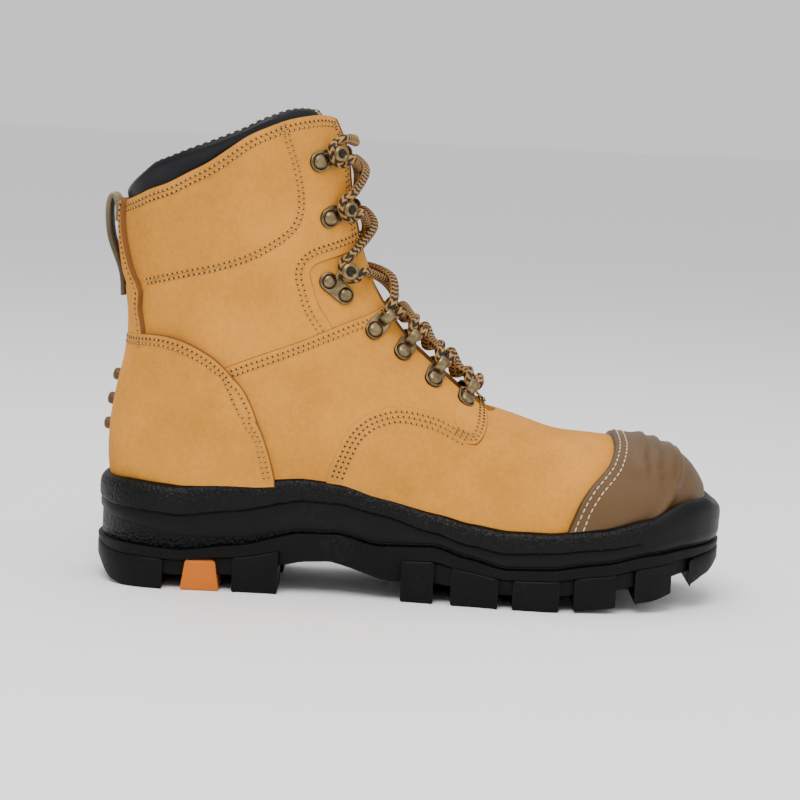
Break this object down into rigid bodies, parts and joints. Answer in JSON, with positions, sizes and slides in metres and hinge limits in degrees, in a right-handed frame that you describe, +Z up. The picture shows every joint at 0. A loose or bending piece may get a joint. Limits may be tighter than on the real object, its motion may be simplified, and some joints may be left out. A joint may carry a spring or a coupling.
{
  "type": "work boot",
  "caption": "Right lace-up ankle-high work boot with a rubber toe cap, padded collar, rings and hooks, a pull loop and a lugged sole.",
  "frame": {"origin": "on the ground under the middle of the whole boot", "axes": "+X to the toe, +Z up, -Y to the outer side of the foot"},
  "size_m": [0.3136, 0.113, 0.2372],
  "materials": {
    "leather": "matt nubuck",
    "cap_rubber": "smooth, low sheen",
    "collar_leather": "smooth, soft",
    "sole_rubber": "moulded, part grained",
    "orange_rubber": "moulded satin",
    "brass": "antique, worn",
    "lace_cord": "braided round cord",
    "insole_fabric": "woven",
    "strap": "woven strap"
  },
  "bodies": {
    "root": {"upper": "leather", "toe_cap": "cap_rubber", "heel_counter": "leather", "back_stay": "leather", "pull_loop": "strap", "collar": "collar_leather", "tongue": "leather", "insole": "insole_fabric", "midsole": "sole_rubber", "outsole": "sole_rubber", "heel_insert": "orange_rubber", "lace": "lace_cord", "heel_stud_1": "cap_rubber", "heel_stud_2": "cap_rubber", "heel_stud_3": "cap_rubber", "hook_outer_1": "brass", "hook_outer_2": "brass", "ankle_hook_outer_1": "brass", "ring_outer_1": "brass", "ring_outer_2": "brass", "ring_outer_3": "brass", "ring_outer_4": "brass", "hook_inner_1": "brass", "hook_inner_2": "brass", "ankle_hook_inner_1": "brass", "ring_inner_1": "brass", "ring_inner_2": "brass", "ring_inner_3": "brass", "ring_inner_4": "brass"}
  },
  "joints": []
}
